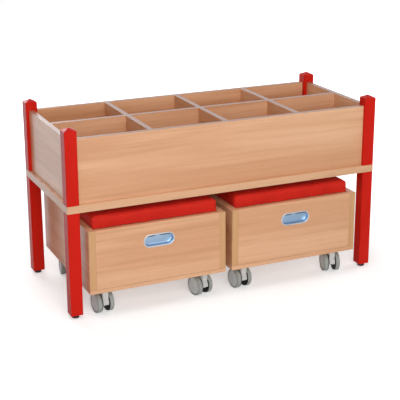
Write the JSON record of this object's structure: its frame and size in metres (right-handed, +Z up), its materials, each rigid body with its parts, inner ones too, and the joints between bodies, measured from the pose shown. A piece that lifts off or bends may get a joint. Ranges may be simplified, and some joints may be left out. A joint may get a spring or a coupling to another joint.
{
  "type": "picture book browser",
  "caption": "Divided beech trough for face-out picture books on square red posts, with castored pull-out seat boxes and red cushions parked underneath.",
  "frame": {"origin": "on the floor below the middle of the whole piece, seat boxes parked", "axes": "+X along the trough to its right end seen from the front, +Y from the front to the back, +Z up"},
  "size_m": [1.24, 0.5576, 0.7],
  "materials": {
    "beech_decor": "satin",
    "plywood": "matte",
    "red_lacquer": "gloss lacquer",
    "red_cover": "woven",
    "handle_metal": "satin",
    "grey_plastic": "moulded",
    "grey_rubber": "moulded",
    "black_plastic": "moulded",
    "steel": "zinc plated"
  },
  "bodies": {
    "trough": {"base_plate": "beech_decor", "front_board": "beech_decor", "back_board": "beech_decor", "left_side_board": "beech_decor", "right_side_board": "beech_decor", "long_divider": "beech_decor", "cross_divider_left": "beech_decor", "cross_divider_middle": "beech_decor", "cross_divider_right": "beech_decor", "post_front_left": "red_lacquer", "post_front_right": "red_lacquer", "post_back_left": "red_lacquer", "post_back_right": "red_lacquer", "leg_front_left": "red_lacquer", "leg_front_right": "red_lacquer", "leg_back_left": "red_lacquer", "leg_back_right": "red_lacquer", "levelling_glides": "black_plastic", "joining_studs": "steel"},
    "left_box": {"left_box_base_board": "beech_decor", "left_box_front_panel": "beech_decor", "left_box_back_panel": "beech_decor", "left_box_left_panel": "beech_decor", "left_box_right_panel": "beech_decor", "left_handle_shell": "handle_metal", "left_seat_battens": "plywood", "left_caster_pins": "steel"},
    "left_seat": {"left_seat_board": "plywood", "left_seat_cushion": "red_cover"},
    "left_caster_front_left": {"left_caster_front_left": "grey_plastic"},
    "left_wheels_front_left": {"left_wheels_front_left": "grey_rubber"},
    "left_caster_front_right": {"left_caster_front_right": "grey_plastic"},
    "left_wheels_front_right": {"left_wheels_front_right": "grey_rubber"},
    "left_caster_back_left": {"left_caster_back_left": "grey_plastic"},
    "left_wheels_back_left": {"left_wheels_back_left": "grey_rubber"},
    "left_caster_back_right": {"left_caster_back_right": "grey_plastic"},
    "left_wheels_back_right": {"left_wheels_back_right": "grey_rubber"},
    "right_box": {"right_box_base_board": "beech_decor", "right_box_front_panel": "beech_decor", "right_box_back_panel": "beech_decor", "right_box_left_panel": "beech_decor", "right_box_right_panel": "beech_decor", "right_handle_shell": "handle_metal", "right_seat_battens": "plywood", "right_caster_pins": "steel"},
    "right_seat": {"right_seat_board": "plywood", "right_seat_cushion": "red_cover"},
    "right_caster_front_left": {"right_caster_front_left": "grey_plastic"},
    "right_wheels_front_left": {"right_wheels_front_left": "grey_rubber"},
    "right_caster_front_right": {"right_caster_front_right": "grey_plastic"},
    "right_wheels_front_right": {"right_wheels_front_right": "grey_rubber"},
    "right_caster_back_left": {"right_caster_back_left": "grey_plastic"},
    "right_wheels_back_left": {"right_wheels_back_left": "grey_rubber"},
    "right_caster_back_right": {"right_caster_back_right": "grey_plastic"},
    "right_wheels_back_right": {"right_wheels_back_right": "grey_rubber"}
  },
  "joints": [
    {"name": "left_box_roll_out", "type": "slide", "parent": "trough", "child": "left_box", "axis": [0, -1, 0], "range_m": [0, 0.7]},
    {"name": "left_seat_lift", "type": "slide", "parent": "left_box", "child": "left_seat", "axis": [0, 0, 1], "range_m": [0, 0.015]},
    {"name": "left_caster_front_left_swivel", "type": "hinge", "parent": "left_box", "child": "left_caster_front_left", "pos_m": [-0.4895, -0.22725, 0.092], "axis": [0, 0, 1], "continuous": true},
    {"name": "left_wheels_front_left_roll", "type": "hinge", "parent": "left_caster_front_left", "child": "left_wheels_front_left", "pos_m": [-0.49124, -0.20733, 0.0375], "axis": [0.9962, 0.0872, 0], "continuous": true},
    {"name": "left_caster_front_right_swivel", "type": "hinge", "parent": "left_box", "child": "left_caster_front_right", "pos_m": [-0.0995, -0.22725, 0.092], "axis": [0, 0, 1], "continuous": true},
    {"name": "left_wheels_front_right_roll", "type": "hinge", "parent": "left_caster_front_right", "child": "left_wheels_front_right", "pos_m": [-0.104, -0.20776, 0.0375], "axis": [0.9744, 0.225, 0], "continuous": true},
    {"name": "left_caster_back_left_swivel", "type": "hinge", "parent": "left_box", "child": "left_caster_back_left", "pos_m": [-0.4895, 0.21275, 0.092], "axis": [0, 0, 1], "continuous": true},
    {"name": "left_wheels_back_left_roll", "type": "hinge", "parent": "left_caster_back_left", "child": "left_wheels_back_left", "pos_m": [-0.49228, 0.19295, 0.0375], "axis": [-0.9903, 0.1392, 0], "continuous": true},
    {"name": "left_caster_back_right_swivel", "type": "hinge", "parent": "left_box", "child": "left_caster_back_right", "pos_m": [-0.0995, 0.21275, 0.092], "axis": [0, 0, 1], "continuous": true},
    {"name": "left_wheels_back_right_roll", "type": "hinge", "parent": "left_caster_back_right", "child": "left_wheels_back_right", "pos_m": [-0.09741, 0.19286, 0.0375], "axis": [-0.9945, -0.1045, 0], "continuous": true},
    {"name": "right_box_roll_out", "type": "slide", "parent": "trough", "child": "right_box", "axis": [0, -1, 0], "range_m": [0, 0.7]},
    {"name": "right_seat_lift", "type": "slide", "parent": "right_box", "child": "right_seat", "axis": [0, 0, 1], "range_m": [0, 0.015]},
    {"name": "right_caster_front_left_swivel", "type": "hinge", "parent": "right_box", "child": "right_caster_front_left", "pos_m": [0.064, -0.22725, 0.092], "axis": [0, 0, 1], "continuous": true},
    {"name": "right_wheels_front_left_roll", "type": "hinge", "parent": "right_caster_front_left", "child": "right_wheels_front_left", "pos_m": [0.06156, -0.2074, 0.0375], "axis": [0.9925, 0.1219, 0], "continuous": true},
    {"name": "right_caster_front_right_swivel", "type": "hinge", "parent": "right_box", "child": "right_caster_front_right", "pos_m": [0.454, -0.22725, 0.092], "axis": [0, 0, 1], "continuous": true},
    {"name": "right_wheels_front_right_roll", "type": "hinge", "parent": "right_caster_front_right", "child": "right_wheels_front_right", "pos_m": [0.4585, -0.20776, 0.0375], "axis": [0.9744, -0.225, 0], "continuous": true},
    {"name": "right_caster_back_left_swivel", "type": "hinge", "parent": "right_box", "child": "right_caster_back_left", "pos_m": [0.064, 0.21275, 0.092], "axis": [0, 0, 1], "continuous": true},
    {"name": "right_wheels_back_left_roll", "type": "hinge", "parent": "right_caster_back_left", "child": "right_wheels_back_left", "pos_m": [0.06539, 0.1928, 0.0375], "axis": [-0.9976, -0.0698, 0], "continuous": true},
    {"name": "right_caster_back_right_swivel", "type": "hinge", "parent": "right_box", "child": "right_caster_back_right", "pos_m": [0.454, 0.21275, 0.092], "axis": [0, 0, 1], "continuous": true},
    {"name": "right_wheels_back_right_roll", "type": "hinge", "parent": "right_caster_back_right", "child": "right_wheels_back_right", "pos_m": [0.45295, 0.19278, 0.0375], "axis": [-0.9986, 0.0523, 0], "continuous": true}
  ]
}
